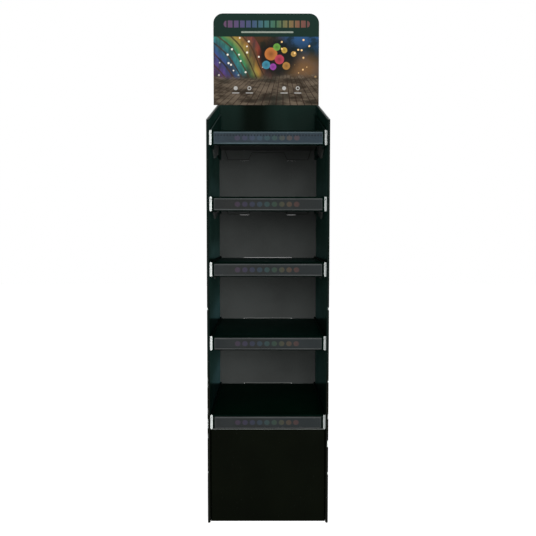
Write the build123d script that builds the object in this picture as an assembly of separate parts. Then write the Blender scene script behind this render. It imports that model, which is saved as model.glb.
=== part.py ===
from build123d import *
import os

# Floor-standing display stand of folded board, in millimetres.
# The origin is on the floor under the middle of the stand, and the open front faces -Y.
# While a piece is drawn, its depth is counted from the front folds of the side walls.

# Board
ply = 3.5                    # one thickness of board
slit = 0.4                   # air between two plies folded flat on each other
crease = 1.0                 # inner radius of a square fold
fit = 0.3                    # clearance wherever one piece lies against another
overrun = 5.0                # how far a cutting shape reaches past what it cuts

# Body wrap: the side walls and the back, one folded sheet
stand_width = 400.0
stand_depth = 400.0
spine = 8.5                  # thickness of a side wall, over both of its plies
front_rise = 39.0            # top of the side walls at the front, above the uppermost tray
slope_rise = 135.0           # from there up to the top of the walls and the back at the rear

# Trays, from the lowest up
lowest_floor = 354.0         # top of the lowest tray's floor
lowest_bay = 264.0           # floor to floor
middle_bay = 244.0
upper_bay = 214.0            # the two uppermost bays are alike

# Tray rim: the doubled edge that runs round the front and both sides of a tray
rim_rise = 7.0               # above the floor
rim_drop = 41.0              # below the top of the floor
rim_recess = 12.0            # tray front, behind the front folds of the side walls
lip_gap = 0.9                # between the front rim and each side rim

# Side tab: cut in the side rim and left hanging straight down, with slanting ends
side_tab_front = 12.0        # its front end behind the tray's front, at the floor
side_tab_rear = 110.0        # its rear end ahead of the rim's rear end, at the floor
side_tab_front_slant = 148.0 # from there back to the front end of its lower edge
side_tab_rear_slant = 30.0   # and from the rear end forward
side_tab_drop = 63.0         # lower edge below the top of the floor, at its front end
side_tab_rear_drop = 48.0    # and at its rear end

# Rear flange of a tray: two tabs, a bridge between them and a tongue
flange_margin = 11.8         # from each side rim to the flange, at the fold
flange_taper = 14.0          # from there inward to the tabs' lower edges
flange_drop = 42.0           # below the top of the floor
notch_foot = 152.0           # gap between the tabs at their lower edges
notch_top = 124.0            # gap between the tabs at the bridge
bridge_drop = 14.0           # lower edge of the bridge, below the top of the floor
tongue_width = 188.0
tongue_window = 7.0          # height of the window that the tongue leaves in the flange
tongue_play = 1.5            # on each side of the tongue, in its slot in the back panel
tongue_slot_rise = 0.6       # open part of the slot, above the floor
foot_slit_width = 34.0       # slit in the back panel under each rear tab
foot_slit_height = 0.5
foot_slit_lead = 1.5         # from the tab's lower edge down to the slit

# Side guards of the uppermost tray
guard_rise = 4.0             # above the floor at the front of the stand, then along the slope

# Plinth: the closed front under the lowest tray
plinth_recess = 11.0
plinth_wing = 60.0           # side wings, from the plinth's face back along the side walls

# Header card
header_height = 353.0        # above its shoulders
header_overhang = 6.5        # past the outer faces of the side walls, before the shift
header_corner = 38.0         # radius of the upper corners
header_shift = -7.0          # the shouldered part stands a little to the left
stem_margin = 1.5            # from each side wall to the stem, at the shoulders
stem_taper = 18.0            # the stem's right edge runs in by this much down to the tray

# Price strips and their labels
strip_end_gap = 6.5          # from each end of the front rim to the strip
strip_height = 39.5
strip_wall = 1.0
strip_channel = 1.4          # clear depth behind the rails
strip_rail = 4.5             # height of each rail
strip_bend = 0.5             # inner radius of the strip's corners
strip_drop = 5.3             # top of the strip, below the top of the rim
label_end_gap = 2.0          # from each end of the strip to the label
label_play = 1.0             # above and below the label, inside the strip
label_thickness = 0.5

# Sizes that follow
rim = 2 * ply + slit                           # thickness of a tray's doubled rim
half_ply = ply / 2
bend = crease + half_ply                       # square fold, at the middle of the board
rim_fold = (rim - ply) / 2                     # flat folds, at the middle of the board
spine_fold = (spine - ply) / 2
bay_half = stand_width / 2 - spine             # inner faces of the side walls
back_face = stand_depth - ply                  # inner face of the back panel
slope = slope_rise / stand_depth
tray_rear = back_face - fit
rim_outside = bay_half - fit
rim_inside = rim_outside - rim
rim_end = tray_rear - ply                      # rear ends of the side rims
lip_half = rim_inside - lip_gap                # half the length of the front rim
lip_back = rim_recess + rim
strip_half = lip_half - strip_end_gap
second_floor = lowest_floor + lowest_bay
third_floor = second_floor + middle_bay
fourth_floor = third_floor + upper_bay
top_floor = fourth_floor + upper_bay
front_height = top_floor + front_rise
rear_height = front_height + slope_rise
tray_floors = {
    "tray_1": top_floor,
    "tray_2": fourth_floor,
    "tray_3": third_floor,
    "tray_4": second_floor,
    "tray_5": lowest_floor,
}


# A closed outline given by its corners
def panel(*corners):
    return make_face(Polyline(*corners, close=True))


# Half of a piece that stands on its plan, and its mirror image
def upright(half_plan, height):
    half = extrude(half_plan, height, dir=(0, 0, 1))
    return half + mirror(half, Plane.YZ)


# Half of the wrap's plan, drawn along the middle of the board: half of the back, the rear
# corner, the outer ply, the flat fold at the front and the inner ply
def wrap_half_plan():
    outside = stand_width / 2 - half_ply
    rear = stand_depth - half_ply
    with BuildLine() as middle:
        back = Line((0, rear), (outside - bend, rear))
        corner = JernArc(back @ 1, back % 1, bend, -90)
        outer_ply = Line(corner @ 1, (outside, spine / 2))
        front_fold = JernArc(outer_ply @ 1, outer_ply % 1, spine_fold, -180)
        Line(front_fold @ 1, front_fold @ 1 + (0, tray_rear - spine / 2))
    return trace(middle.line, ply)


def body_wrap():
    blank = upright(wrap_half_plan(), rear_height)
    reach = stand_depth + overrun
    above = panel(
        (-overrun, front_height - overrun * slope),
        (reach, front_height + reach * slope),
        (reach, rear_height + overrun * 2),
        (-overrun, rear_height + overrun * 2),
    )
    body = blank - extrude(Plane.YZ * above, stand_width, both=True)
    for floor in tray_floors.values():
        body -= back_slots(floor)
    return body


# Slot in the back panel for one tray's tongue, and a slit under each of its two rear tabs
def back_slots(floor):
    depth = ply + 2 * overrun
    middle = stand_depth - ply / 2
    width = tongue_width + 2 * tongue_play
    height = tongue_slot_rise + ply + fit
    slots = Pos(0, middle, floor + tongue_slot_rise - height / 2) * Box(width, depth, height)
    foot = floor - flange_drop - foot_slit_lead - foot_slit_height / 2
    for side in (-1, 1):
        place = side * (notch_foot + foot_slit_width) / 2
        slots += Pos(place, middle, foot) * Box(foot_slit_width, depth, foot_slit_height)
    return slots


# Section of the rolled rim and of the floor that runs up to it, drawn along the middle of the
# board: up, over the upper fold, down, round the lower fold and up to the floor again.
# The rim's outer face and the top of the floor are at 0
def rim_section(floor_run):
    inner = half_ply - rim
    with BuildLine() as middle:
        floor = Line((-floor_run, -half_ply), (inner - bend, -half_ply))
        corner = JernArc(floor @ 1, floor % 1, bend, 90)
        rise = Line(corner @ 1, (inner, rim_rise - rim / 2))
        upper_fold = JernArc(rise @ 1, rise % 1, rim_fold, -180)
        outer_ply = Line(upper_fold @ 1, (-half_ply, rim / 2 - rim_drop))
        lower_fold = JernArc(outer_ply @ 1, outer_ply % 1, rim_fold, -180)
        Line(lower_fold @ 1, (inner, -ply - fit))
    return trace(middle.line, ply)


# Side rim and half of the floor, along the depth of the tray
def tray_side():
    section = Pos(rim_outside, 0) * rim_section(rim_outside)
    side = Pos(0, rim_end) * extrude(Plane.XZ * section, rim_end - rim_recess)
    room = Box(rim_inside * 2, lip_back * 2, rim_drop * 2)
    return side - room


# Outline of the side tab, below the given height
def side_tab_outline(upper_edge):
    front = rim_recess + side_tab_front
    rear = rim_end - side_tab_rear
    outline = panel(
        (front, 0),
        (rear, 0),
        (rear - side_tab_rear_slant, -side_tab_rear_drop),
        (front + side_tab_front_slant, -side_tab_drop),
    )
    above = panel((0, upper_edge), (stand_depth, upper_edge), (stand_depth, rim), (0, rim))
    return outline - above


# The tab's window in the inner ply, and the tab itself in the outer ply
def with_side_tab(side):
    window = extrude(Plane.YZ * side_tab_outline(-ply), ply + slit)
    tab = extrude(Plane.YZ * side_tab_outline(rim / 2 - rim_drop), ply)
    return side - Pos(rim_inside) * window + Pos(rim_outside - ply) * tab


# Front rim between the side rims, with a strip of floor that joins it to the rest
def tray_front():
    floor_run = rim + crease + ply
    section = Plane.YZ * mirror(rim_section(floor_run), Plane.YZ)
    return Pos(0, rim_recess) * extrude(section, lip_half, both=True)


# Outline of the rear flange: two tapered tabs with a bridge between them
def flange_outline():
    right = [
        (notch_top / 2, -bridge_drop),
        (notch_foot / 2, -flange_drop),
        (rim_inside - flange_margin - flange_taper, -flange_drop),
        (rim_inside - flange_margin, 0),
    ]
    left = [(-across, height) for across, height in reversed(right)]
    return panel(*right, *left)


# Rear flange folded down from the floor, with its middle left straight as a tongue
def tray_rear_edge():
    down = tray_rear - half_ply
    front = down - bend
    with BuildLine() as middle:
        floor = Line((front - ply, -half_ply), (front, -half_ply))
        corner = JernArc(floor @ 1, floor % 1, bend, -90)
        Line(corner @ 1, (down, -flange_drop))
    strip = extrude(Plane.YZ * trace(middle.line, ply), rim_inside, both=True)
    outline = Pos(0, stand_depth) * extrude(Plane.XZ * flange_outline(), stand_depth)
    edge = strip & outline
    window_depth = bend + ply + overrun
    window = Box(tongue_width + 2 * lip_gap, window_depth, tongue_window)
    edge -= Pos(0, front + window_depth / 2, -tongue_window / 2) * window
    tongue_length = stand_depth - front
    edge += Pos(0, front + tongue_length / 2, -ply / 2) * Box(tongue_width, tongue_length, ply)
    return edge


# Side guard of the uppermost tray: one ply left standing where the rim folds over
def side_guard():
    front = rim_recess
    rear = rim_end - crease
    foot = rim_rise - rim / 2
    outline = panel(
        (front, foot),
        (rear, foot),
        (rear, guard_rise + rear * slope),
        (front, guard_rise + front * slope),
    )
    return Pos(rim_inside) * extrude(Plane.YZ * outline, ply)


def tray(floor, guarded):
    side = with_side_tab(tray_side())
    if guarded:
        side += side_guard()
    whole = side + mirror(side, Plane.YZ) + tray_front() + tray_rear_edge()
    return Pos(0, 0, floor) * whole


# Plinth: front panel with a wing folded back along each side wall
def plinth():
    outside = bay_half - fit - half_ply
    front = plinth_recess + half_ply
    with BuildLine() as middle:
        panel_line = Line((0, front), (outside - bend, front))
        corner = JernArc(panel_line @ 1, panel_line % 1, bend, 90)
        Line(corner @ 1, (outside, plinth_recess + plinth_wing))
    return upright(trace(middle.line, ply), lowest_floor - rim_drop - fit)


# Header card: its stem stands on the uppermost tray, its shoulders are on the side walls
def header_card():
    rear = back_face - fit
    shoulder = front_height + rear * slope + fit
    stem_foot = top_floor + fit
    stem_half = bay_half - stem_margin
    width = stand_width + 2 * header_overhang
    crown = RectangleRounded(width, header_height + header_corner * 2, header_corner)
    crown = Pos(header_shift, shoulder + header_height / 2 - header_corner) * crown
    crown &= Pos(header_shift, shoulder + header_height / 2) * Rectangle(width, header_height)
    stem = panel(
        (-stem_half, stem_foot),
        (stem_half - stem_taper, stem_foot),
        (stem_half, shoulder),
        (-stem_half, shoulder),
    )
    return Pos(0, rear) * extrude(Plane.XZ * (crown + stem), ply)


# Section of a price strip: a back plate with a rail folded over its upper and lower edges.
# The back is at 0 and the front is towards -Y
def strip_section():
    half_wall = strip_wall / 2
    corner = strip_bend + half_wall
    upper = strip_height / 2 - half_wall
    front = -half_wall - strip_channel - strip_wall
    with BuildLine() as middle:
        lip = Line((front, strip_height / 2 - strip_rail), (front, upper - corner))
        front_corner = JernArc(lip @ 1, lip % 1, corner, -90)
        top = Line(front_corner @ 1, (-half_wall - corner, upper))
        rear_corner = JernArc(top @ 1, top % 1, corner, -90)
        Line(rear_corner @ 1, (-half_wall, 0))
    half = trace(middle.line, strip_wall)
    return half + mirror(half, Plane.XZ)


def strip_middle(floor):
    return floor + rim_rise - strip_drop - strip_height / 2


def price_strip(floor):
    strip = extrude(Plane.YZ * strip_section(), strip_half, both=True)
    return Pos(0, rim_recess - fit, strip_middle(floor)) * strip


def price_label(floor):
    back = rim_recess - fit - strip_wall - (strip_channel - label_thickness) / 2
    length = 2 * (strip_half - label_end_gap)
    height = strip_height - 2 * (strip_wall + label_play)
    label = Box(length, label_thickness, height)
    return Pos(0, back - label_thickness / 2, strip_middle(floor)) * label


# Moves the piece so that the origin is under the middle of the stand, and writes it
def save(name, piece):
    placed = Pos(0, -stand_depth / 2) * piece
    placed.label = name
    export_step(placed, os.path.join("parts", name + ".step"))


os.makedirs("parts", exist_ok=True)
save("body_wrap", body_wrap())
save("plinth", plinth())
save("header_card", header_card())
for name, floor in tray_floors.items():
    save(name, tray(floor, guarded=floor == top_floor))
    save(name.replace("tray", "price_strip"), price_strip(floor))
    save(name.replace("tray", "price_label"), price_label(floor))
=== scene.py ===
import math
import bpy
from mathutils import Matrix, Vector


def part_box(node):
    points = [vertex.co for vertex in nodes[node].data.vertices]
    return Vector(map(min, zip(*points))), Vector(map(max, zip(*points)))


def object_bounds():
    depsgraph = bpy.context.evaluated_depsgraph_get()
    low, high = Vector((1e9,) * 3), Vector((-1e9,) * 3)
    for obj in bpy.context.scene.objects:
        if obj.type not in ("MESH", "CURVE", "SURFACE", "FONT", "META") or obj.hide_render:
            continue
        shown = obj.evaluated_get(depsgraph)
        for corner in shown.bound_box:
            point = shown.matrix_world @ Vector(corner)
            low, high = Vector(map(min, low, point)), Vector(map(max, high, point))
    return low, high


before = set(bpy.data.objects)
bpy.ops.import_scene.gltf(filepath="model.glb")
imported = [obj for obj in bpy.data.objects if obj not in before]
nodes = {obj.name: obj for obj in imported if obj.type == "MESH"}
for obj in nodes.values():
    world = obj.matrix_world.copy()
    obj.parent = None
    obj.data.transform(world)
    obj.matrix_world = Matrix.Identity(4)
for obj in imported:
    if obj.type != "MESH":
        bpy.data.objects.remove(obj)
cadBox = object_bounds()
scene = bpy.context.scene
scene.view_settings.view_transform = "Standard"
print("frame loaded:", len(nodes), "board and plastic pieces")

margin = 0.0002                    # play when a face is told by its place
boardPly = 0.0035
wallHalf = 0.2                     # half the stand's width, and half its depth
backInside = 0.1965                # inner face of the back panel
stripAboveFloor = 0.0017           # top of a price strip above its tray's floor
trayNumbers = range(1, 6)          # the first tray is the uppermost
floorOf = {k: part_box("price_strip_%d" % k)[1].z - stripAboveFloor for k in trayNumbers}
print("tray floors at", [round(height, 4) for height in floorOf.values()])


# Small helpers for shader trees

def link(tree, source, socket):
    # a socket gets joined, anything else is its value
    if isinstance(source, bpy.types.NodeSocket):
        tree.links.new(source, socket)
    elif source is not None:
        socket.default_value = source


def add(tree, kind, inputs=None, **settings):
    node = tree.nodes.new(kind)
    for name, value in settings.items():
        setattr(node, name, value)
    for name, value in (inputs or {}).items():
        link(tree, value, node.inputs[name])
    return node


def calc(tree, operation, a, b=None):
    node = add(tree, "ShaderNodeMath", operation=operation)
    link(tree, a, node.inputs[0])
    link(tree, b, node.inputs[1])
    return node.outputs[0]


def product(tree, first, *others):
    for factor in others:
        first = calc(tree, "MULTIPLY", first, factor)
    return first


def highest(tree, first, *others):
    for value in others:
        first = calc(tree, "MAXIMUM", first, value)
    return first


def hypotenuse(tree, a, b):
    squares = calc(tree, "ADD", calc(tree, "MULTIPLY", a, a), calc(tree, "MULTIPLY", b, b))
    return calc(tree, "SQRT", squares)


def beatOf(tree, value):
    # distance from the middle of each whole step, 0 to 0.5
    return calc(tree, "ABSOLUTE", calc(tree, "SUBTRACT", calc(tree, "FRACT", value), 0.5))


def coordinates(tree, vector):
    split = add(tree, "ShaderNodeSeparateXYZ")
    link(tree, vector, split.inputs[0])
    return split.outputs["X"], split.outputs["Y"], split.outputs["Z"]


def opaque(color):
    # a plain colour gets its fourth number, a socket stays as it is
    return color if isinstance(color, bpy.types.NodeSocket) else (*color, 1)


def tinted(color, tint):
    # the tint is one factor, or three
    factors = tint if isinstance(tint, tuple) else (tint,) * 3
    return tuple(c * factor for c, factor in zip(color, factors))


def blendColor(tree, factor, a, b, mode="MIX"):
    node = add(tree, "ShaderNodeMix", data_type="RGBA", blend_type=mode)
    link(tree, factor, node.inputs[0])
    link(tree, opaque(a), node.inputs[6])
    link(tree, opaque(b), node.inputs[7])
    return node.outputs[2]


def remap(tree, value, low, high, toLow=0.0, toHigh=1.0):
    # soft step from low to high
    node = add(tree, "ShaderNodeMapRange", interpolation_type="SMOOTHSTEP",
               inputs={"From Min": low, "From Max": high, "To Min": toLow, "To Max": toHigh})
    link(tree, value, node.inputs["Value"])
    return node.outputs["Result"]


def stepUp(tree, value, edge, soft):
    # 1 past the edge
    return remap(tree, value, edge - soft, edge + soft)


def stepDown(tree, value, edge, soft):
    # 1 before the edge
    return remap(tree, value, edge + soft, edge - soft)


def ramp(tree, factor, stops):
    node = add(tree, "ShaderNodeValToRGB")
    points = node.color_ramp.elements
    while len(points) < len(stops):
        points.new(0.5)
    for point, (place, color) in zip(points, stops):
        point.position = place
        point.color = opaque(color)
    link(tree, factor, node.inputs["Fac"])
    return node.outputs["Color"]


def noise(tree, place, scale, detail, stretch=(1, 1, 1), roughness=0.5):
    stretched = add(tree, "ShaderNodeVectorMath", operation="MULTIPLY")
    link(tree, place, stretched.inputs[0])
    stretched.inputs[1].default_value = stretch
    return add(tree, "ShaderNodeTexNoise", inputs={
        "Vector": stretched.outputs[0], "Scale": scale, "Detail": detail,
        "Roughness": roughness}).outputs["Fac"]


def cellDistance(tree, place, scale, randomness):
    return add(tree, "ShaderNodeTexVoronoi", inputs={
        "Vector": place, "Scale": scale, "Randomness": randomness}).outputs["Distance"]


def newMaterial(name):
    material = bpy.data.materials.new(name)
    material.use_nodes = True
    tree = material.node_tree
    tree.nodes.clear()
    shader = add(tree, "ShaderNodeBsdfPrincipled")
    output = add(tree, "ShaderNodeOutputMaterial")
    tree.links.new(shader.outputs[0], output.inputs["Surface"])
    place = add(tree, "ShaderNodeTexCoord").outputs["Object"]
    return material, tree, shader, place


def bump(tree, height, depth, before=None):
    node = add(tree, "ShaderNodeBump", inputs={"Strength": 1.0, "Distance": depth})
    link(tree, height, node.inputs["Height"])
    link(tree, before, node.inputs["Normal"])
    return node.outputs["Normal"]


# Board: black print outside, dark grey reverse, pale cut edges.
# A pattern is written as the size, detail, stretch and roughness of its noise

board = {
    "innerPrint": (0.0058, 0.0185, 0.0148),    # on the inner walls and the rims
    "trayPrint": (0.0004, 0.0028, 0.0018),
    "plinthPrint": (0.0012, 0.0017, 0.0008),
    "cloud": (7.0, 4.0),           # slow unevenness of the print
    "cloudSpan": (0.35, 0.7),
    "cloudLift": 1.35,
    "specks": (700.0, 2.0),
    "speckSpan": (0.76, 0.84, 0.0, 0.25),
    "smears": (9.0, 3.0, (1, 1, 0.5)),
    "printGloss": (0.2, 0.8, 0.32, 0.37),      # roughness of the coating, over its smears
    "printSheen": 0.025,           # specular level of the coating
    "innerSheen": 0.004,           # where the coating is dull, inside
    "skin": (420.0, 2.0),
    "skinRelief": 0.000012,
    "scuff": (0.55, 0.55, 0.52),
    "reverse": (0.064, 0.069, 0.067),
    "reverseDark": (0.051, 0.055, 0.053),
    "reverseCloud": (5.0, 4.0),
    "reverseSpan": (0.3, 0.7),
    "reverseGloss": (0.3, 0.7, 0.55, 0.7),
    "reverseSheen": 0.1,
    "fibres": (260.0, 4.0, (1, 1, 0.25), 0.6),
    "fibreSpan": (0.42, 0.75, 0.0, 0.3),
    "fibreTint": (0.075, 0.080, 0.077),
    "fibreRelief": 0.00003,
    "flute": 0.0066,               # pitch of the corrugation
    "fluteRelief": 0.00003,
}
cut = {
    # colour of the liner and of the hollows between the flutes, for each kind of cut edge
    "pale": ((0.60, 0.635, 0.62), (0.42, 0.44, 0.42)),
    "dull": ((0.355, 0.38, 0.372), (0.24, 0.255, 0.25)),
    "shaded": ((0.075, 0.08, 0.076), (0.045, 0.048, 0.0456)),
    # painted shade on the guards' top cut edges
    "guard": ((0.030, 0.050, 0.045), (0.021, 0.035, 0.0315)),
    "cellsPerFlute": 1.6,
    "cellRandomness": 0.45,
    "hollowSpan": (0.18, 0.40, 0.8, 0.0),
    "hollowRelief": -0.0005,
    "fuzz": (1400.0, 2.0),
    "fuzzSpan": (0.4, 0.8, 0.0, 0.25),
    "fuzzRelief": 0.00012,
    "gloss": 0.85,
    "sheen": 0.1,
}


def ridges(tree, place, upright):
    # corrugation showing through the liner: upright flutes on the body, crosswise ones on a tray
    x, y, z = coordinates(tree, place)
    if upright:
        along = calc(tree, "ADD", x, y)
    else:
        normal = add(tree, "ShaderNodeNewGeometry").outputs["True Normal"]
        sideways = calc(tree, "ABSOLUTE", coordinates(tree, normal)[0])
        height = calc(tree, "MULTIPLY", z, calc(tree, "SUBTRACT", 1.0, sideways))
        along = calc(tree, "ADD", y, height)
    return calc(tree, "SINE", calc(tree, "MULTIPLY", along, 2 * math.pi / board["flute"]))


def blackPrint(name, tint, upright, sheen=board["innerSheen"], over=None):
    material, tree, shader, place = newMaterial(name)
    cloud = noise(tree, place, *board["cloud"])
    color = blendColor(tree, remap(tree, cloud, *board["cloudSpan"]), tint,
                       tinted(tint, board["cloudLift"]))
    specks = noise(tree, place, *board["specks"])
    color = blendColor(tree, remap(tree, specks, *board["speckSpan"]), color, board["scuff"])
    if over:
        # what this piece alone has on top of the print
        color = over(tree, place, color)
    link(tree, color, shader.inputs["Base Color"])
    smears = noise(tree, place, *board["smears"])
    link(tree, remap(tree, smears, *board["printGloss"]), shader.inputs["Roughness"])
    shader.inputs["Specular IOR Level"].default_value = sheen
    wavy = bump(tree, ridges(tree, place, upright), board["fluteRelief"])
    skin = noise(tree, place, *board["skin"])
    link(tree, bump(tree, skin, board["skinRelief"], wavy), shader.inputs["Normal"])
    return material


def greyReverse(name, upright, over=None):
    material, tree, shader, place = newMaterial(name)
    cloud = noise(tree, place, *board["reverseCloud"])
    color = blendColor(tree, remap(tree, cloud, *board["reverseSpan"]), board["reverseDark"],
                       board["reverse"])
    fibres = noise(tree, place, *board["fibres"])
    color = blendColor(tree, remap(tree, fibres, *board["fibreSpan"]), color, board["fibreTint"])
    if over:
        color = over(tree, place, fibres, color)
    link(tree, color, shader.inputs["Base Color"])
    link(tree, remap(tree, fibres, *board["reverseGloss"]), shader.inputs["Roughness"])
    shader.inputs["Specular IOR Level"].default_value = board["reverseSheen"]
    wavy = bump(tree, ridges(tree, place, upright), board["fluteRelief"])
    link(tree, bump(tree, fibres, board["fibreRelief"], wavy), shader.inputs["Normal"])
    return material


def cutEdge(name, liner, hollowColor):
    material, tree, shader, place = newMaterial(name)
    # the hollows between the flutes read as darker spots along the cut
    distance = cellDistance(tree, place, cut["cellsPerFlute"] / board["flute"],
                            cut["cellRandomness"])
    hollow = remap(tree, distance, *cut["hollowSpan"])
    fuzz = noise(tree, place, *cut["fuzz"])
    color = blendColor(tree, hollow, liner, hollowColor)
    color = blendColor(tree, remap(tree, fuzz, *cut["fuzzSpan"]), color, hollowColor)
    link(tree, color, shader.inputs["Base Color"])
    shader.inputs["Roughness"].default_value = cut["gloss"]
    shader.inputs["Specular IOR Level"].default_value = cut["sheen"]
    torn = bump(tree, hollow, cut["hollowRelief"])
    link(tree, bump(tree, fuzz, cut["fuzzRelief"], torn), shader.inputs["Normal"])
    return material


paleEdge = cutEdge("paleCutEdge", *cut["pale"])
dullEdge = cutEdge("dullCutEdge", *cut["dull"])
dimEdge = cutEdge("shadedCutEdge", *cut["shaded"])
# painted shade on the guards' top cut edges
shadedGuardEdge = cutEdge("shadedGuardCutEdge", *cut["guard"])
plainGrey = greyReverse("plinthGreyReverse", True)


def dressBoard(node, sideOf, materials):
    # sideOf names the side of the board that a face is, and so its material
    mesh = node.data
    mesh.materials.clear()
    for material in materials.values():
        mesh.materials.append(material)
    slotOf = {side: slot for slot, side in enumerate(materials)}
    for face in mesh.polygons:
        face.material_index = slotOf[sideOf(face.center, face.normal)]


# Body wrap

body = {
    "print": (0.0022, 0.0050, 0.0041),
    "lowPrint": (0.0040, 0.0047, 0.0032),      # the print is warmer low down
    "lowFrom": (0.55, 0.42),
    "foldSpan": (0.0010, 0.0002),  # where the rubbed line ends, behind the front of the folds
    "rub": (30.0, 5.0, (1, 1, 1), 0.62),
    "rubSpan": (0.5, 0.72, 0.05, 0.55),
    "rubShare": 0.012,
    # side, height, half length and how far in from the corner, for each chipped spot of the folds
    "chips": [
        (-1, 0.717, 0.0035, 0.0018), (-1, 0.473, 0.0170, 0.0006), (-1, 0.377, 0.0090, 0.0006),
        (-1, 0.335, 0.0160, 0.0010), (-1, 0.293, 0.0080, 0.0007), (-1, 0.171, 0.0030, 0.0009),
        (1, 0.717, 0.0040, 0.0022), (1, 0.476, 0.0030, 0.0018), (1, 0.359, 0.0080, 0.0014),
        (1, 0.268, 0.0110, 0.0026), (1, 0.168, 0.0035, 0.0015),
    ],
    "chipGrain": (900.0, 3.0),
    "chipRagged": 0.0048,          # how uneven the rim of a chip is
    "chipSoft": 0.0006,
    "chipDepth": 0.0010,           # added to how far in each chip reaches
    "chipDepthSoft": 0.0004,
    "slotArea": (0.12, 1.4),       # cut edges of the slots: half width and height
    "topFrom": 1.3,                # cut edges above are those of the sloping tops
    "outerPlyFrom": 0.1955,
}
# Painted light and shade on the inner walls' print, fixed to the walls
walls = {
    # painted light: the inner walls are lighter towards the back panel
    "rearFrom": (-0.20, 0.22),     # the inner walls are lighter towards the back panel
    "rearLift": 2.3,
    # painted shade on the walls above the uppermost tray, stronger on the right
    "upperDim": (0.30, 0.62),      # left and right wall, above the uppermost tray
    "upperFrom": (0.002, 0.035),   # above its floor
    # painted light, lighter low in a bay, down to its tray: from and to which height above the
    # tray's floor it grows, and its share on the left and the right wall
    "lowLight": {4: (0.182, 0.062, 0.95, 0.40), 5: (0.246, 0.086, 0.95, 0.40)},
    "lowLift": (1.95, 1.85, 2.2),
    "lowDepth": (-0.30, 0.05),     # from front to back
    # painted light at the foot of a bay: from and to which height above the tray's floor it grows,
    # and its share on the left and the right wall
    "footLight": {2: (0.100, 0.030, 0.72, 0.42), 3: (0.092, 0.025, 1.00, 0.34),
                  4: (0.110, 0.050, 0.36, 0.10), 5: (0.130, 0.075, 0.36, 0.0)},
    "footLift": (3.5, 2.6, 3.1),
    "footDepth": (-0.28, -0.05),
    # painted shade, a darker field beside a tray's floor: how high its upper edge has risen at the
    # front
    "darkRise": {3: 0.0195, 4: 0.0678, 5: 0.1168},
    "darkRun": 0.3965,
    "darkSoft": 0.004,
    "darkFoot": -0.010,
    "darkFootSoft": 0.002,
    "darkShare": 0.92,
    # painted shade: the walls beside the plinth are as dark as its print
    "plinthDrop": 0.041,           # top of the plinth below the lowest tray's floor
    "plinthSoft": 0.004,
}
slots = {
    "halfLength": 0.0965,          # tongue slot in the back panel
    "lipRise": 0.0017,             # height of its painted highlight, along the lip, above the tray's floor
    "lipHalf": 0.0010,
    "endSoft": 0.0005,
    "lipSoft": 0.0001,
    "lip": (0.30, 0.315, 0.30),
    "share": {1: 0.3, 2: 0.3, 3: 0.1, 4: 0.55, 5: 0.55},   # how bright the painted highlight at each tray's slot is
    "fibreSpan": (0.3, 0.6),
    "stemShadeFrom": 0.01,           # painted shade on the panel behind the header's stem, from this far above the uppermost tray's floor
    "stemShadeSoft": 0.001,
}


def chipMask(tree, place):
    # torn spots on the outer corners of the front folds
    x, y, z = coordinates(tree, place)
    grain = calc(tree, "SUBTRACT", noise(tree, place, *body["chipGrain"]), 0.5)
    ragged = calc(tree, "MULTIPLY", grain, body["chipRagged"])
    # distance of a point from the outer corner of the fold, round it
    inward = calc(tree, "SUBTRACT", wallHalf, calc(tree, "ABSOLUTE", x))
    backward = calc(tree, "ADD", y, wallHalf)
    depth = calc(tree, "ADD", highest(tree, inward, backward), ragged)
    spots = []
    for side, height, half, reach in body["chips"]:
        along = calc(tree, "ABSOLUTE", calc(tree, "SUBTRACT", z, height))
        spots.append(product(
            tree, stepDown(tree, calc(tree, "ADD", along, ragged), half, body["chipSoft"]),
            stepDown(tree, depth, reach + body["chipDepth"], body["chipDepthSoft"]),
            calc(tree, "GREATER_THAN", calc(tree, "MULTIPLY", x, side), 0.0)))
    return highest(tree, *spots)


def wornFolds(tree, place, color):
    # a thin rubbed line along the front folds, and the torn spots
    _, y, z = coordinates(tree, place)
    color = blendColor(tree, remap(tree, z, *body["lowFrom"]), color, body["lowPrint"])
    nearFold = remap(tree, y, *(behind - wallHalf for behind in body["foldSpan"]))
    rubbed = remap(tree, noise(tree, place, *body["rub"]), *body["rubSpan"])
    color = blendColor(tree, product(tree, nearFold, rubbed, body["rubShare"]), color,
                       board["scuff"])
    return blendColor(tree, chipMask(tree, place), color, cut["pale"][0])


def paintedFloorShade(tree, y, z):
    # painted shade beside a tray's floor: its upper edge rises from the rear end of the tray's
    # floor to the front
    forward = calc(tree, "SUBTRACT", backInside, y)
    fields = []
    for k, rise in walls["darkRise"].items():
        height = calc(tree, "SUBTRACT", z, floorOf[k])
        line = calc(tree, "MULTIPLY", forward, rise / walls["darkRun"])
        fields.append(product(
            tree, stepDown(tree, calc(tree, "SUBTRACT", height, line), 0.0, walls["darkSoft"]),
            stepUp(tree, height, walls["darkFoot"], walls["darkFootSoft"])))
    return highest(tree, *fields)


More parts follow.
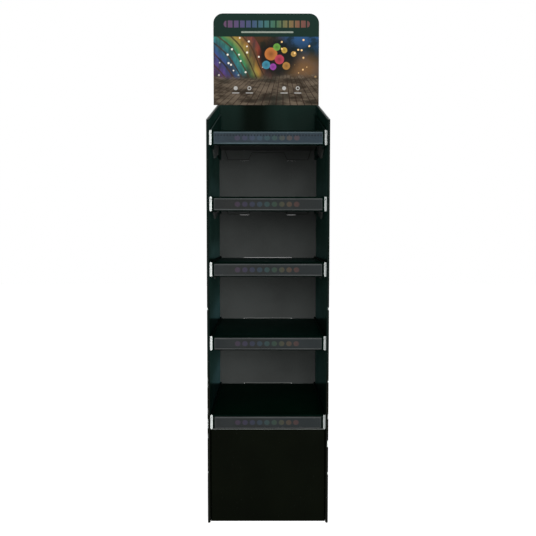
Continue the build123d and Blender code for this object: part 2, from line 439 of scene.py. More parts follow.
# Painted light and shade on the inner walls' print
def shadedWalls(tree, place, color):
    x, y, z = coordinates(tree, place)
    onRight = calc(tree, "GREATER_THAN", x, 0.0)

    def bySide(left, right):
        return calc(tree, "ADD", calc(tree, "MULTIPLY", onRight, right - left), left)

    def bayLight(bays, depth):
        spots = []
        for k, (high, low, left, right) in bays.items():
            height = calc(tree, "SUBTRACT", z, floorOf[k])
            spots.append(product(tree, remap(tree, height, high, low),
                                 calc(tree, "GREATER_THAN", height, 0.0), bySide(left, right)))
        return calc(tree, "MULTIPLY", highest(tree, *spots), remap(tree, y, *depth))

    # painted light, lighter towards the back panel
    color = blendColor(tree, remap(tree, y, *walls["rearFrom"]), color,
                       tinted(board["innerPrint"], walls["rearLift"]))
    # painted shade above the uppermost tray
    upper = remap(tree, z, *(floorOf[1] + rise for rise in walls["upperFrom"]))
    dim = calc(tree, "MULTIPLY", bySide(*walls["upperDim"]), upper)
    color = blendColor(tree, dim, color, board["trayPrint"])
    # painted light low in the bays
    color = blendColor(tree, bayLight(walls["lowLight"], walls["lowDepth"]), color,
                       walls["lowLift"], "MULTIPLY")
    # painted light at the feet of the bays
    color = blendColor(tree, bayLight(walls["footLight"], walls["footDepth"]), color,
                       walls["footLift"], "MULTIPLY")
    # painted shade beside the lower trays' floors
    dark = calc(tree, "MULTIPLY", paintedFloorShade(tree, y, z), walls["darkShare"])
    color = blendColor(tree, dark, color, board["trayPrint"])
    # painted shade beside the plinth
    plinthSideShade = stepDown(tree, z, floorOf[5] - walls["plinthDrop"], walls["plinthSoft"])
    return blendColor(tree, plinthSideShade, color, board["plinthPrint"])


def slottedBack(tree, place, fibres, color):
    # painted highlight: a pale line on the liner along the upper lip of each slot; painted shade
    # behind the header's stem
    x, _, z = coordinates(tree, place)
    along = stepDown(tree, calc(tree, "ABSOLUTE", x), slots["halfLength"], slots["endSoft"])
    for k, share in slots["share"].items():
        off = calc(tree, "ABSOLUTE", calc(tree, "SUBTRACT", z, floorOf[k] + slots["lipRise"]))
        lip = product(tree, along, stepDown(tree, off, slots["lipHalf"], slots["lipSoft"]))
        lipHighlight = remap(tree, fibres, *slots["fibreSpan"], share / 2, share)
        color = blendColor(tree, calc(tree, "MULTIPLY", lip, lipHighlight), color, slots["lip"])
    # painted shade: the panel is dark behind the header's stem, above the uppermost tray
    stemShade = stepUp(tree, z, floorOf[1] + slots["stemShadeFrom"], slots["stemShadeSoft"])
    return blendColor(tree, stemShade, color, board["innerPrint"])


def bodySide(center, normal):
    # a part of the normal is near 1 where the face is square to that axis, and near 0 along it
    across = abs(center.x)
    slotHalf, slotTop = body["slotArea"]
    inPanel = backInside + margin < center.y < wallHalf - margin
    if inPanel and across < slotHalf and abs(normal.y) < 0.1 and center.z < slotTop:
        return "dim"
    if abs(normal.z) > 0.5:
        # along the sloping tops only the outer ply is pale
        outerPly = across > body["outerPlyFrom"]
        return "dull" if center.z > body["topFrom"] and outerPly else "dim"
    if abs(center.y - backInside) < margin and normal.y < -0.9:
        return "reverse"
    # inner faces of the side walls
    if across < wallHalf - margin and normal.x * center.x < 0 and abs(normal.x) > 0.99:
        return "wall"
    return "print"


dressBoard(nodes["body_wrap"], bodySide, {
    "print": blackPrint("bodyBlackPrint", body["print"], True, board["printSheen"], wornFolds),
    # the back panel's reverse, with a painted highlight at the slots and painted shade behind the
    # stem
    "reverse": greyReverse("bodyGreyReversePaintedLight", True, slottedBack),
    "pale": paleEdge,
    "dim": dimEdge,
    # inner walls: print with painted light and shade
    "wall": blackPrint("innerPrintPaintedLight", board["innerPrint"], True, over=shadedWalls),
    "dull": dullEdge,
})
print("body wrap dressed")


# Plinth

plinth = {
    "sheen": 0.015,
    "wingFrom": 0.18,              # faces further out than this are those of the wings
    "wingEndFrom": 0.185,
}


def plinthSide(center, normal):
    across = abs(center.x)
    if abs(normal.z) > 0.5:
        return "pale"
    if normal.y > 0.9:
        return "dim" if across > plinth["wingEndFrom"] else "reverse"
    inward = normal.x * center.x < 0 and across > plinth["wingFrom"]
    return "reverse" if inward else "print"


dressBoard(nodes["plinth"], plinthSide, {
    "print": blackPrint("plinthBlackPrint", board["plinthPrint"], True, plinth["sheen"]),
    "reverse": plainGrey,
    "pale": paleEdge,
    "dim": dimEdge,
})
print("plinth dressed")


# Trays

tray = {
    # floors of the three lowest trays, which are seen from above, with painted shade darker on
    # each lower tray
    "floorShadePrint": {3: (0.0020, 0.0130, 0.0105), 4: (0.0006, 0.0071, 0.0050),
                   5: (0.0001, 0.0046, 0.0022)},
    # painted shade on the guards' inner faces, darker on the right
    "guardShade": (0.70, 0.45),    # left and right guard, as a share of the inner print
    "seenFromBelow": (1, 2),
    # where the parts of a tray begin: across, along the depth, or above its floor
    "rimInside": 0.1838,
    "rimOuterPly": 0.1877,
    "rimFront": -0.188,
    "rimRear": 0.18,
    "rimTop": 0.0071,
    "rimFoot": -0.0412,
    "guardFront": 0.0075,
    "frontRimEnd": 0.182,
    "frontRimRear": -0.17,
    "flangeFront": 0.1927,
}
flange = {
    # outline of a tray's rear flange, from the middle and below the tray's floor
    "notchTop": 0.062,
    "notchFoot": 0.076,
    "bridgeDrop": 0.014,
    "drop": 0.042,
    "outerTop": 0.172,
    "outerFoot": 0.158,
    "edgeShade": 0.0022,             # width of the painted shade line along the flange's cut edge
    "edgeShadeSoft": 0.0005,
    "edgeShadeShare": 0.8,
    "edgeShadeTint": (0.010, 0.011, 0.010),
}


# painted shade: a dark line along a rear flange's outline, the shade of the gap behind it
def flangeEdgeShade(floorTop):
    notchSlant = ((flange["notchFoot"] - flange["notchTop"])
                  / (flange["drop"] - flange["bridgeDrop"]))
    outerSlant = (flange["outerTop"] - flange["outerFoot"]) / flange["drop"]

    def edgeShade(tree, place, fibres, color):
        # distance inside the flange's outline, for the painted shade line along it
        x, _, z = coordinates(tree, place)
        across = calc(tree, "ABSOLUTE", x)
        under = calc(tree, "SUBTRACT", floorTop, z)
        notchEdge = calc(tree, "ADD", flange["notchTop"] - flange["bridgeDrop"] * notchSlant,
                         calc(tree, "MULTIPLY", under, notchSlant))
        fromNotch = highest(tree, calc(tree, "SUBTRACT", across, notchEdge),
                            calc(tree, "SUBTRACT", flange["bridgeDrop"], under))
        outerEdge = calc(tree, "SUBTRACT", flange["outerTop"],
                         calc(tree, "MULTIPLY", under, outerSlant))
        fromOuter = calc(tree, "SUBTRACT", outerEdge, across)
        fromFoot = calc(tree, "SUBTRACT", flange["drop"], under)
        inside = calc(tree, "MINIMUM", calc(tree, "MINIMUM", fromNotch, fromFoot), fromOuter)
        line = stepDown(tree, inside, flange["edgeShade"], flange["edgeShadeSoft"])
        return blendColor(tree, calc(tree, "MULTIPLY", line, flange["edgeShadeShare"]), color,
                          flange["edgeShadeTint"])

    return edgeShade


def rimSide(center, normal, height, seenFromBelow):
    across = abs(center.x)
    onLeft = center.x < 0
    outward = -normal.x if onLeft else normal.x
    # open ends of the side rims
    if abs(normal.y) > 0.7 and center.y < tray["rimFront"] + margin:
        if height > tray["guardFront"]:
            return "dim"
        return "pale" if onLeft else "dull"
    if abs(normal.y) > 0.7 and center.y > tray["rimRear"]:
        return "dim"
    # side tab, and the outer ply seen through its window
    if height < tray["rimFoot"]:
        if abs(normal.x) < 0.5:
            return "dim"
        return "reverse" if outward < 0 else "print"
    if abs(across - tray["rimOuterPly"]) < margin and outward < -0.9:
        return "reverse"
    # cut edges of the window
    if across < tray["rimOuterPly"] and abs(normal.y) > 0.3 and height < -boardPly:
        return "dim"
    if height < -boardPly and normal.z > 0.9:
        return "dim"
    # top and inner face of a side guard
    if height > tray["rimTop"] and normal.z > 0.5:
        return "guardTop" if onLeft else "rightGuard"
    if height > tray["rimTop"] and outward < -0.9:
        return "leftGuard" if onLeft else "rightGuard"
    # inner face of the rim under the floor, and its lower fold
    if seenFromBelow and height < -boardPly and outward < 0.1 and abs(normal.y) < 0.5:
        return "rim"
    return "print"


def traySideFor(floorTop, seenFromBelow):
    def traySide(center, normal):
        height = center.z - floorTop
        across = abs(center.x)
        if across > tray["rimInside"] - margin:
            return rimSide(center, normal, height, seenFromBelow)
        # ends of the front rim
        if (across > tray["frontRimEnd"] and abs(normal.x) > 0.9
                and center.y < tray["frontRimRear"]):
            return "dim"
        # rear flange and tongue
        if center.y > tray["flangeFront"] - margin:
            if normal.y < -0.9:
                return "flange"
            if abs(normal.y) < 0.1 and height < -boardPly - margin:
                return "dim"
            if normal.y > 0.9 and center.y > wallHalf - margin:
                return "dim"
            return "print"
        # underside and top of the floor
        if normal.z < -0.9 and abs(height + boardPly) < margin:
            return "reverse"
        if normal.z > 0.9 and abs(height) < margin:
            return "floor"
        return "print"

    return traySide


trayBlack = blackPrint("trayBlackPrint", board["trayPrint"], False)
trayGrey = greyReverse("trayGreyReverse", False)
rimBlack = blackPrint("rimBlackPrint", board["innerPrint"], False)
# painted shade: darker copies of the inner print for the guards
leftGuard, rightGuard = (
    blackPrint("guardShadedPrint%d" % k, tinted(board["innerPrint"], share), False)
    for k, share in enumerate(tray["guardShade"]))
for k in trayNumbers:
    flangeGrey = greyReverse("flangeGreyReverse%d" % k, False, flangeEdgeShade(floorOf[k]))
    # painted shade: each lower tray's floor is a darker copy of the print
    shadedFloorBlack = blackPrint("floorBlackPrint%d" % k,
                            tray["floorShadePrint"].get(k, board["trayPrint"]), False)
    dressBoard(nodes["tray_%d" % k], traySideFor(floorOf[k], k in tray["seenFromBelow"]), {
        "print": trayBlack,
        "reverse": trayGrey,
        "pale": paleEdge,
        "dim": dimEdge,
        "dull": dullEdge,
        "flange": flangeGrey,
        "guardTop": shadedGuardEdge,
        "leftGuard": leftGuard,
        "rightGuard": rightGuard,
        "rim": rimBlack,
        "floor": shadedFloorBlack,
    })
print("trays dressed")


# Header card: soft fields of colour and plain shapes on black, placed in shares of the card

spectrum = [
    (0.00, (0.34, 0.04, 0.32)),
    (0.17, (0.17, 0.06, 0.45)),
    (0.33, (0.03, 0.12, 0.45)),
    (0.48, (0.02, 0.36, 0.40)),
    (0.62, (0.05, 0.34, 0.10)),
    (0.78, (0.60, 0.36, 0.04)),
    (0.92, (0.62, 0.10, 0.03)),
    (1.00, (0.42, 0.03, 0.03)),
]
header = {
    "crownHeight": 0.353,
    "printSoft": 0.003,
    "smears": (12.0, 4.0),
    "gloss": (0.3, 0.75, 0.28, 0.42),
    "sheen": 0.03,
    "dusk": {
        "left": (0.050, 0.026, 0.014),
        "right": (0.012, 0.024, 0.034),
        "rightFrom": (0.45, 0.85),
        "blue": (0.021, 0.060, 0.140),
        "blueUp": (0.56, 0.74),
        "blueAcross": (0.55, 0.8),
        "grain": (26.0, 6.0, (1, 1, 1), 0.6),
        "leafSpan": (0.44, 0.62),
        "leafShare": 0.75,
        "leaves": (0.008, 0.014, 0.010),
        "glowPlace": (0.86, 0.40, 1.5),
        "glowReach": 0.34,
        "glowShare": 0.7,
        "glow": (0.17, 0.085, 0.03),
    },
    "planks": {
        "vanish": (0.66, 0.62),    # the seams run together there
        "count": 9.0,
        "seamSpan": (0.40, 0.49),
        "seam": (0.018, 0.010, 0.008),
        "tone": (18.0, 5.0, (1, 1, 3.0), 0.6),
        "toneSpan": (0.35, 0.68),
        "dark": (0.026, 0.020, 0.014),
        "light": (0.110, 0.085, 0.061),
        "worn": (8.0, 3.0, (1, 1, 1.6)),
        "wornSpan": (0.42, 0.62, 0.0, 0.65),
        "wornTint": (0.016, 0.018, 0.014),
        "top": 0.31,
        "topWave": 0.16,
        "topSpan": (-0.02, 0.03),
    },
    "fan": {
        "middle": (-0.30, 0.06),
        "reach": (0.44, 1.04),
        "count": 7.0,
        "ripple": (7.0, 1.0),
        "rippleDepth": 0.10,
        "gapSpan": (0.5, 0.34),
        "rimSoft": 0.01,
        "footSpan": (0.27, 0.36),
        "folds": (34.0, 3.0, (1, 1, 0.3)),
        "foldSpan": (0.30, 0.66, 0.25, 0.9),
        "foldTint": (0.022, 0.026, 0.026),
        "fade": 0.42,
        "fadeTint": (0.050, 0.048, 0.042),
    },
    "pool": {
        "place": (0.60, 0.52, 1.2),
        "span": (0.30, 0.16),
        "share": 0.85,
        "tint": (0.006, 0.008, 0.008),
        "discSoft": 0.004,
        "discGlow": -0.02,
        "discShare": (0.35, 0.9),
        "dim": 0.6,
        "lift": 0.012,
        # place, size and colour of each disc
        "discs": [
            (0.545, 0.560, 0.070, (0.62, 0.20, 0.04)), (0.625, 0.500, 0.052, (0.55, 0.05, 0.10)),
            (0.500, 0.440, 0.045, (0.05, 0.30, 0.42)), (0.600, 0.635, 0.040, (0.16, 0.42, 0.06)),
            (0.672, 0.600, 0.032, (0.66, 0.42, 0.06)), (0.565, 0.420, 0.036, (0.36, 0.06, 0.42)),
            (0.690, 0.430, 0.042, (0.50, 0.24, 0.05)), (0.760, 0.560, 0.030, (0.60, 0.34, 0.08)),
        ],
    },
    "lights": {
        # scale, size, colour and reach across, for each kind of small light
        "kinds": [
            (34.0, 0.10, (0.85, 0.80, 0.70), (0.0, 0.50)),
            (22.0, 0.095, (1.0, 0.62, 0.26), (0.70, 1.0)),
            (40.0, 0.11, (0.95, 0.60, 0.25), (0.62, 1.0)),
        ],
        "randomness": 0.8,
        "halo": 1.7,
        "edge": (0.02, 0.04),
        "footSpan": (0.28, 0.38),
        "share": 0.75,
    },
    "marks": {
        "across": (0.21, 0.34, 0.67, 0.80),
        "height": 0.185,
        "size": 0.022,
        "hole": (0.5, 0.6),        # of the rings, as shares of their size
        "bar": (0.030, 0.133, 0.005),          # half length, height and half thickness
        "share": 0.5,
        "tint": (0.60, 0.60, 0.58),
    },
    "band": {
        "foot": 0.748,             # the dark band is above this share of the height
        "tint": (0.0088, 0.0212, 0.0165),
        # left, right, middle height and half thickness
        "chips": (0.13, 0.88, 0.885, 0.038),
        "chipCount": 13,
        "chipSpan": (0.42, 0.36),
        "chipShare": 0.6,
        "mute": 0.72,
        "muteTint": (0.075, 0.085, 0.078),
        "line": (0.27, 0.75, 0.797, 0.009),
        "lineShare": 0.55,
        "lineTint": (0.36, 0.40, 0.34),
    },
    "stem": {
        "streak": (9.0, 2.0, (1, 1, 0.1)),
        "streakSpan": (0.40, 0.62),
        "dark": (0.0046, 0.0120, 0.0094),
        "light": (0.0062, 0.0156, 0.0124),
        # a darker upright band: its left and right edge, and how soft each is
        "shadeLeft": (0.26, 0.07),
        "shadeRight": (0.54, 0.11),
        "shadeShare": 0.95,
        "shade": (0.0004, 0.0020, 0.0009),
        "topSoft": 0.002,
    },
}


def headerRuler(tree, place):
    # shares across and up the shouldered part, with helpers for round and straight shapes
    low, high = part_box("header_card")
    shoulder = high.z - header["crownHeight"]
    aspect = (high.x - low.x) / header["crownHeight"]
    x, _, z = coordinates(tree, place)
    across = calc(tree, "DIVIDE", calc(tree, "SUBTRACT", x, low.x), high.x - low.x)
    up = calc(tree, "DIVIDE", calc(tree, "SUBTRACT", z, shoulder), header["crownHeight"])
    wide = calc(tree, "MULTIPLY", across, aspect)

    def distance(fromLeft, fromFoot, squash=1.0):
        dx = calc(tree, "SUBTRACT", wide, fromLeft * aspect)
        dy = calc(tree, "MULTIPLY", calc(tree, "SUBTRACT", up, fromFoot), squash)
        return hypotenuse(tree, dx, dy)

    def bar(left, right, middle, half):
        # with rounded ends
        off = calc(tree, "ABSOLUTE", calc(tree, "SUBTRACT", across, (left + right) / 2))
        past = calc(tree, "MULTIPLY", calc(tree, "SUBTRACT", off, (right - left) / 2), aspect)
        away = hypotenuse(tree, highest(tree, past, 0.0), calc(tree, "SUBTRACT", up, middle))
        return stepDown(tree, away, half, header["printSoft"])

    return across, up, distance, bar


def duskField(tree, place, across, up, distance):
    # brown at the left and deep blue at the upper right
    dusk = header["dusk"]
    color = blendColor(tree, remap(tree, across, *dusk["rightFrom"]), dusk["left"], dusk["right"])
    upperRight = product(tree, remap(tree, up, *dusk["blueUp"]),
                         remap(tree, across, *dusk["blueAcross"]))
    color = blendColor(tree, upperRight, color, dusk["blue"])
    leaves = remap(tree, noise(tree, place, *dusk["grain"]), *dusk["leafSpan"])
    color = blendColor(tree, product(tree, leaves, dusk["leafShare"]), color, dusk["leaves"])
    glow = remap(tree, distance(*dusk["glowPlace"]), dusk["glowReach"], 0.0)
    return blendColor(tree, product(tree, glow, dusk["glowShare"]), color, dusk["glow"])


def plankField(tree, place, across, up, upper):
    # warm brown boards running away, up to an uneven edge
    planks = header["planks"]
    vanishAcross, vanishUp = planks["vanish"]
    dx = calc(tree, "SUBTRACT", across, vanishAcross)
    dy = calc(tree, "SUBTRACT", vanishUp, up)
    seam = beatOf(tree, calc(tree, "MULTIPLY", calc(tree, "DIVIDE", dx, dy), planks["count"]))
    tone = noise(tree, place, *planks["tone"])
    wood = blendColor(tree, remap(tree, tone, *planks["toneSpan"]), planks["dark"],
                      planks["light"])
    worn = noise(tree, place, *planks["worn"])
    wood = blendColor(tree, remap(tree, worn, *planks["wornSpan"]), wood, planks["wornTint"])
    wood = blendColor(tree, remap(tree, seam, *planks["seamSpan"]), wood, planks["seam"])
    wave = calc(tree, "MULTIPLY", calc(tree, "SUBTRACT", tone, 0.5), planks["topWave"])
    top = calc(tree, "ADD", planks["top"], wave)
    past = remap(tree, calc(tree, "SUBTRACT", up, top), *planks["topSpan"])
    return blendColor(tree, past, wood, upper)


def ribbonFan(tree, place, up, distance, color):
    # ribbons in the order of the rainbow
    fan = header["fan"]
    wave = calc(tree, "SUBTRACT", noise(tree, place, *fan["ripple"]), 0.5)
    reach = calc(tree, "ADD", distance(*fan["middle"]),
                 calc(tree, "MULTIPLY", wave, fan["rippleDepth"]))
    near, far = fan["reach"]
    order = calc(tree, "DIVIDE", calc(tree, "SUBTRACT", reach, near), far - near)
    gap = beatOf(tree, calc(tree, "MULTIPLY", order, fan["count"]))
    inside = product(tree, stepUp(tree, order, 0.0, fan["rimSoft"]),
                     stepDown(tree, order, 1.0, fan["rimSoft"]),
                     remap(tree, gap, *fan["gapSpan"]), remap(tree, up, *fan["footSpan"]))
    faded = blendColor(tree, fan["fade"], ramp(tree, order, spectrum), fan["fadeTint"])
    folds = remap(tree, noise(tree, place, *fan["folds"]), *fan["foldSpan"])
    ribbons = blendColor(tree, folds, faded, fan["foldTint"])
    return blendColor(tree, inside, color, ribbons)


def lightPool(tree, distance, color):
    # a dark pool with soft discs of coloured light
    pool = header["pool"]
    dark = product(tree, remap(tree, distance(*pool["place"]), *pool["span"]), pool["share"])
    color = blendColor(tree, dark, color, pool["tint"])
    for fromLeft, fromFoot, size, tint in pool["discs"]:
        away = distance(fromLeft, fromFoot)
        disc = product(tree, stepDown(tree, away, size, pool["discSoft"]),
                       remap(tree, away, pool["discGlow"], size, *pool["discShare"]))
        shown = tuple(c * pool["dim"] + pool["lift"] for c in tint)
        color = blendColor(tree, disc, color, shown)
    return color


def smallLights(tree, place, across, up, color):
    lights = header["lights"]
    outer, inner = lights["edge"]
    for scale, size, tint, (left, right) in lights["kinds"]:
        dots = remap(tree, cellDistance(tree, place, scale, lights["randomness"]),
                     size * lights["halo"], size)
        area = product(tree, remap(tree, across, left - outer, left + inner),
                       remap(tree, across, right + outer, right - inner),
                       remap(tree, up, *lights["footSpan"]))
        color = blendColor(tree, product(tree, dots, area, lights["share"]), color, tint)
    return color


def plainMarks(tree, distance, bar, color):
    # disc, ring, disc, ring, each over a short bar
    marks = header["marks"]
    barHalf, barHeight, barThick = marks["bar"]
    for k, fromLeft in enumerate(marks["across"]):
        away = distance(fromLeft, marks["height"])
        mark = stepDown(tree, away, marks["size"], header["printSoft"])
        if k % 2:
            hole = (marks["size"] * share for share in marks["hole"])
            mark = product(tree, mark, remap(tree, away, *hole))
        under = bar(fromLeft - barHalf, fromLeft + barHalf, barHeight, barThick)
        shown = product(tree, highest(tree, mark, under), marks["share"])
        color = blendColor(tree, shown, color, marks["tint"])
    return color


def darkBand(tree, across, up, bar, color):
    # across the top, with a row of muted colour chips and a pale line
    band = header["band"]
    color = blendColor(tree, stepUp(tree, up, band["foot"], header["printSoft"]), color,
                       band["tint"])
    left, right = band["chips"][:2]
    run = calc(tree, "DIVIDE", calc(tree, "SUBTRACT", across, left), right - left)
    gap = beatOf(tree, calc(tree, "MULTIPLY", run, band["chipCount"]))
    chips = product(tree, bar(*band["chips"]), remap(tree, gap, *band["chipSpan"]),
                    band["chipShare"])
    muted = blendColor(tree, band["mute"], ramp(tree, run, spectrum), band["muteTint"])
    color = blendColor(tree, chips, color, muted)
    return blendColor(tree, product(tree, bar(*band["line"]), band["lineShare"]), color,
                      band["lineTint"])


def blackStem(tree, place, across, up, color):
    stem = header["stem"]
    streak = noise(tree, place, *stem["streak"])
    black = blendColor(tree, remap(tree, streak, *stem["streakSpan"]), stem["dark"],
                       stem["light"])
    shaded = product(tree, stepUp(tree, across, *stem["shadeLeft"]),
                     stepDown(tree, across, *stem["shadeRight"]), stem["shadeShare"])
    black = blendColor(tree, shaded, black, stem["shade"])
    return blendColor(tree, stepDown(tree, up, 0.0, stem["topSoft"]), color, black)


def headerPrint(name):
    material, tree, shader, place = newMaterial(name)
    across, up, distance, bar = headerRuler(tree, place)
    color = duskField(tree, place, across, up, distance)
    color = plankField(tree, place, across, up, color)
    color = ribbonFan(tree, place, up, distance, color)
    color = lightPool(tree, distance, color)
    color = smallLights(tree, place, across, up, color)
    color = plainMarks(tree, distance, bar, color)
    color = darkBand(tree, across, up, bar, color)
    color = blackStem(tree, place, across, up, color)
    link(tree, color, shader.inputs["Base Color"])
    smears = noise(tree, place, *header["smears"])
    link(tree, remap(tree, smears, *header["gloss"]), shader.inputs["Roughness"])
    shader.inputs["Specular IOR Level"].default_value = header["sheen"]
    link(tree, bump(tree, ridges(tree, place, True), board["fluteRelief"]),
         shader.inputs["Normal"])
    return material


def headerSide(center, normal):
    if normal.y < -0.9:
        return "print"
    return "reverse" if normal.y > 0.9 else "dim"


dressBoard(nodes["header_card"], headerSide, {
    "print": headerPrint("headerCardPrint"),
    "reverse": plainGrey,
    "pale": paleEdge,
    "dim": dimEdge,
})
print("header card dressed")


# Price strips and labels

strip = {
    "plastic": (0.021, 0.0235, 0.0235),
    "plasticEdge": (0.031, 0.0345, 0.0345),
    # painted reflection on the uppermost strip
    "topReflection": (1.12, 1.58, 1.85),     # the uppermost strip is lighter and bluer
    "streaks": (160.0, 3.0, (0.06, 1, 1)),
    "streakSpan": (0.35, 0.7),
    "streakRelief": 0.00002,
    "footShade": {4: 0.0022, 5: 0.0034},   # height of the darker foot of the lower rail
    "footSoft": 0.0003,
    "footShare": 0.85,
    "footTint": (0.002, 0.003, 0.003),
    "smears": (30.0, 3.0),
    "gloss": (0.3, 0.7, 0.16, 0.28),
    "sheen": 0.22,
}
label = {
    "plain": (0.0102, 0.0110, 0.0106),
    "light": (0.0138, 0.0148, 0.0143),
    # painted reflection: the uppermost label is lighter and bluer
    "topReflection": (1.40, 1.85, 2.40),
    "fibres": (320.0, 3.0),
    "fibreSpan": (0.35, 0.7),
    "fibreRelief": 0.00001,
    "cloud": (11.0, 3.0, (1, 1, 0.4)),
    "cloudSpan": (0.45, 0.75, 0.0, 0.35),
    "cloudTint": (0.024, 0.026, 0.026),
    "hue": (4.0, 1.0, (1, 1, 0.2)),
    "hueSpan": (0.35, 0.65, 0.0, 0.5),
    "hueTint": (0.010, 0.0145, 0.0165),
    "gloss": (0.3, 0.7, 0.42, 0.55),
    "sheen": 0.10,
    # row of soft tinted ovals
    "marks": (-0.112, 0.105),
    "markCount": 9,
    "markHeight": 0.0180,
    "markNarrow": 1.25,
    "markSpan": (0.52, 0.42),
    "markEnd": 0.001,
    "markDepth": 0.13,             # how strongly they are printed
    "markMute": 0.76,
    "muteTint": (0.068, 0.072, 0.072),
    # fine dark dots along the top of the uppermost label
    "dotPitch": 0.0098,
    "dotRise": 0.0085,
    "dotRadius": 0.0029,
    "dotSoft": 0.0004,
    "dotShare": 0.85,
    "dotTint": (0.008, 0.010, 0.012),
}


def stripPlastic(name, tint, foot, footShade):
    material, tree, shader, place = newMaterial(name)
    streaks = noise(tree, place, *strip["streaks"])
    color = blendColor(tree, remap(tree, streaks, *strip["streakSpan"]),
                       tinted(strip["plastic"], tint), tinted(strip["plasticEdge"], tint))
    if footShade:
        # the foot of the lower rail is darker
        height = coordinates(tree, place)[2]
        dark = stepDown(tree, height, foot + footShade, strip["footSoft"])
        color = blendColor(tree, product(tree, dark, strip["footShare"]), color,
                           strip["footTint"])
    link(tree, color, shader.inputs["Base Color"])
    smears = noise(tree, place, *strip["smears"])
    link(tree, remap(tree, smears, *strip["gloss"]), shader.inputs["Roughness"])
    shader.inputs["Specular IOR Level"].default_value = strip["sheen"]
    link(tree, bump(tree, streaks, strip["streakRelief"]), shader.inputs["Normal"])
    return material


def tintedOvals(tree, x, z, middle, color):
    # plain ovals in muted rainbow order
    left, right = label["marks"]
    run = calc(tree, "DIVIDE", calc(tree, "SUBTRACT", x, left), right - left)
    beat = calc(tree, "FRACT", calc(tree, "MULTIPLY", run, label["markCount"]))
    dx = calc(tree, "MULTIPLY", calc(tree, "SUBTRACT", beat, 0.5), label["markNarrow"])
    dz = calc(tree, "DIVIDE", calc(tree, "SUBTRACT", z, middle), label["markHeight"])
    oval = product(tree, remap(tree, hypotenuse(tree, dx, dz), *label["markSpan"]),
                   stepUp(tree, run, 0.0, label["markEnd"]),
                   stepDown(tree, run, 1.0, label["markEnd"]), label["markDepth"])
    muted = blendColor(tree, label["markMute"], ramp(tree, run, spectrum), label["muteTint"])
    return blendColor(tree, oval, color, muted)


def fineDots(tree, x, z, middle, color):
    beat = calc(tree, "FRACT", calc(tree, "DIVIDE", x, label["dotPitch"]))
    dx = calc(tree, "MULTIPLY", calc(tree, "SUBTRACT", beat, 0.5), label["dotPitch"])
    dz = calc(tree, "SUBTRACT", z, middle + label["dotRise"])
    dot = stepDown(tree, hypotenuse(tree, dx, dz), label["dotRadius"], label["dotSoft"])
    return blendColor(tree, product(tree, dot, label["dotShare"]), color, label["dotTint"])


def labelPaper(name, middle, tint, dotted):
    material, tree, shader, place = newMaterial(name)
    x, _, z = coordinates(tree, place)
    fibre = noise(tree, place, *label["fibres"])
    color = blendColor(tree, remap(tree, fibre, *label["fibreSpan"]),
                       tinted(label["plain"], tint), tinted(label["light"], tint))
    cloud = remap(tree, noise(tree, place, *label["cloud"]), *label["cloudSpan"])
    color = blendColor(tree, cloud, color, tinted(label["cloudTint"], tint))
    hue = remap(tree, noise(tree, place, *label["hue"]), *label["hueSpan"])
    color = blendColor(tree, hue, color, tinted(label["hueTint"], tint))
    color = tintedOvals(tree, x, z, middle, color)
    if dotted:
        color = fineDots(tree, x, z, middle, color)
    link(tree, color, shader.inputs["Base Color"])
    link(tree, remap(tree, fibre, *label["gloss"]), shader.inputs["Roughness"])
    shader.inputs["Specular IOR Level"].default_value = label["sheen"]
    link(tree, bump(tree, fibre, label["fibreRelief"]), shader.inputs["Normal"])
    return material


def dressPlain(name, material):
    materials = nodes[name].data.materials
    materials.clear()
    materials.append(material)


for k in trayNumbers:
    isTop = k == 1
    stripName, labelName = "price_strip_%d" % k, "price_label_%d" % k
    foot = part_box(stripName)[0].z
    dressPlain(stripName, stripPlastic("smokyStripPlastic%d" % k, strip["topReflection"] if isTop else 1,
                                       foot, strip["footShade"].get(k)))
    low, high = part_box(labelName)
    dressPlain(labelName, labelPaper("labelPaper%d" % k, (low.z + high.z) / 2,
                                     label["topReflection"] if isTop else 1, isTop))
print("strips and labels dressed")


# Floor, light and camera

studio = {
    "floorSize": 14.0,
    "floorColor": (0.80, 0.80, 0.80),
    "floorShade": 0.985,           # its darker speckle, as a share of the colour
    "speckle": (60.0, 3.0),
    "floorGloss": 0.9,
    "floorSheen": 0.1,
    "floorLift": 0.70,             # seen by the camera, so that the floor meets the white backdrop
    "worldLight": 0.42,
    "aim": (0, 0, 0.9),            # what the lamps point at
    # power, place and size of each soft lamp
    "lamps": {
        "frontLamp": (84.0, (0.2, -3.6, 1.8), 1.6),
        "keyLamp": (46.0, (1.7, -2.8, 0.9), 1.4),
        "sideLamp": (22.0, (-1.7, -2.8, 1.1), 1.4),
    },
}
view = {
    "lens": 36.0,
    "sensor": 36.0,
    "distance": 1.74,              # in front of the front folds
    "height": 0.9834,
    "side": -0.0045,
    "downTilt": 2.75,
    "turn": -0.135,                # the stand faces a little past the camera
    "roll": -0.045,
    "pictureSize": 536,
    "lift": 15.06,                 # the picture is framed this many pixels low of the lens axis
}
white = (1, 1, 1, 1)


def backdropSeen(tree):
    # 1 where the camera sees it, also in gloss and through clear plastic
    path = add(tree, "ShaderNodeLightPath")
    return highest(tree, path.outputs["Is Camera Ray"], path.outputs["Is Glossy Ray"],
                   path.outputs["Is Transmission Ray"])


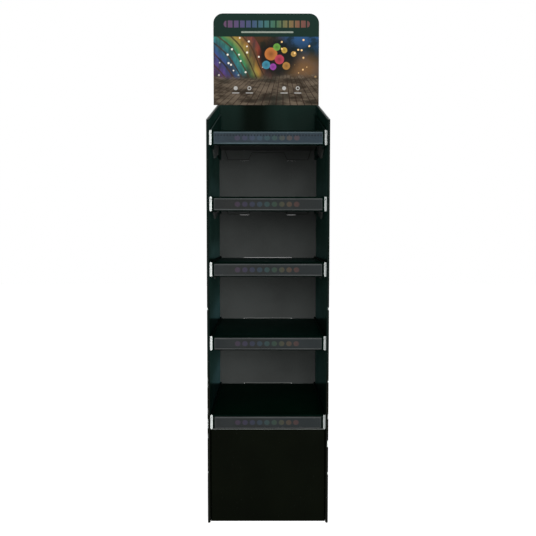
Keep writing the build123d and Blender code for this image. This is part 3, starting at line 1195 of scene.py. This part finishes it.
def makeFloor():
    half = studio["floorSize"] / 2
    corners = [(-half, -half, 0), (half, -half, 0), (half, half, 0), (-half, half, 0)]
    mesh = bpy.data.meshes.new("studioFloor")
    mesh.from_pydata(corners, [], [(0, 1, 2, 3)])
    floor = bpy.data.objects.new("studioFloor", mesh)
    scene.collection.objects.link(floor)
    material, tree, shader, place = newMaterial("paleFloor")
    speckle = noise(tree, place, *studio["speckle"])
    color = blendColor(tree, speckle, studio["floorColor"],
                       tinted(studio["floorColor"], studio["floorShade"]))
    link(tree, color, shader.inputs["Base Color"])
    shader.inputs["Roughness"].default_value = studio["floorGloss"]
    shader.inputs["Specular IOR Level"].default_value = studio["floorSheen"]
    link(tree, product(tree, backdropSeen(tree), studio["floorLift"]),
         shader.inputs["Emission Strength"])
    shader.inputs["Emission Color"].default_value = white
    mesh.materials.append(material)


def makeWorld():
    world = bpy.data.worlds.new("whiteStudio")
    scene.world = world
    world.use_nodes = True
    tree = world.node_tree
    tree.nodes.clear()
    light = add(tree, "ShaderNodeBackground",
                inputs={"Color": white, "Strength": studio["worldLight"]})
    backdrop = add(tree, "ShaderNodeBackground", inputs={"Color": white, "Strength": 1.0})
    mix = add(tree, "ShaderNodeMixShader")
    output = add(tree, "ShaderNodeOutputWorld")
    tree.links.new(backdropSeen(tree), mix.inputs[0])
    tree.links.new(light.outputs[0], mix.inputs[1])
    tree.links.new(backdrop.outputs[0], mix.inputs[2])
    tree.links.new(mix.outputs[0], output.inputs["Surface"])


def makeLamp(name, power, place, size):
    lamp = bpy.data.lights.new(name, "AREA")
    lamp.energy = power
    lamp.size = size
    lampObject = bpy.data.objects.new(name, lamp)
    scene.collection.objects.link(lampObject)
    lampObject.location = place
    toStand = Vector(studio["aim"]) - Vector(place)
    lampObject.rotation_euler = toStand.to_track_quat("-Z", "Y").to_euler()
    lampObject.visible_glossy = False


def makeCamera():
    camera = bpy.data.cameras.new("photoCamera")
    camera.lens = view["lens"]
    camera.sensor_width = view["sensor"]
    camera.shift_y = -view["lift"] / view["pictureSize"]
    cameraObject = bpy.data.objects.new("photoCamera", camera)
    scene.collection.objects.link(cameraObject)
    front = cadBox[0][1]
    cameraObject.location = (view["side"], front - view["distance"], view["height"])
    turns = (90 - view["downTilt"], view["roll"], view["turn"])
    cameraObject.rotation_euler = [math.radians(angle) for angle in turns]
    scene.camera = cameraObject


makeFloor()
makeWorld()
for name, (power, place, size) in studio["lamps"].items():
    makeLamp(name, power, place, size)
makeCamera()
print("studio and camera ready")
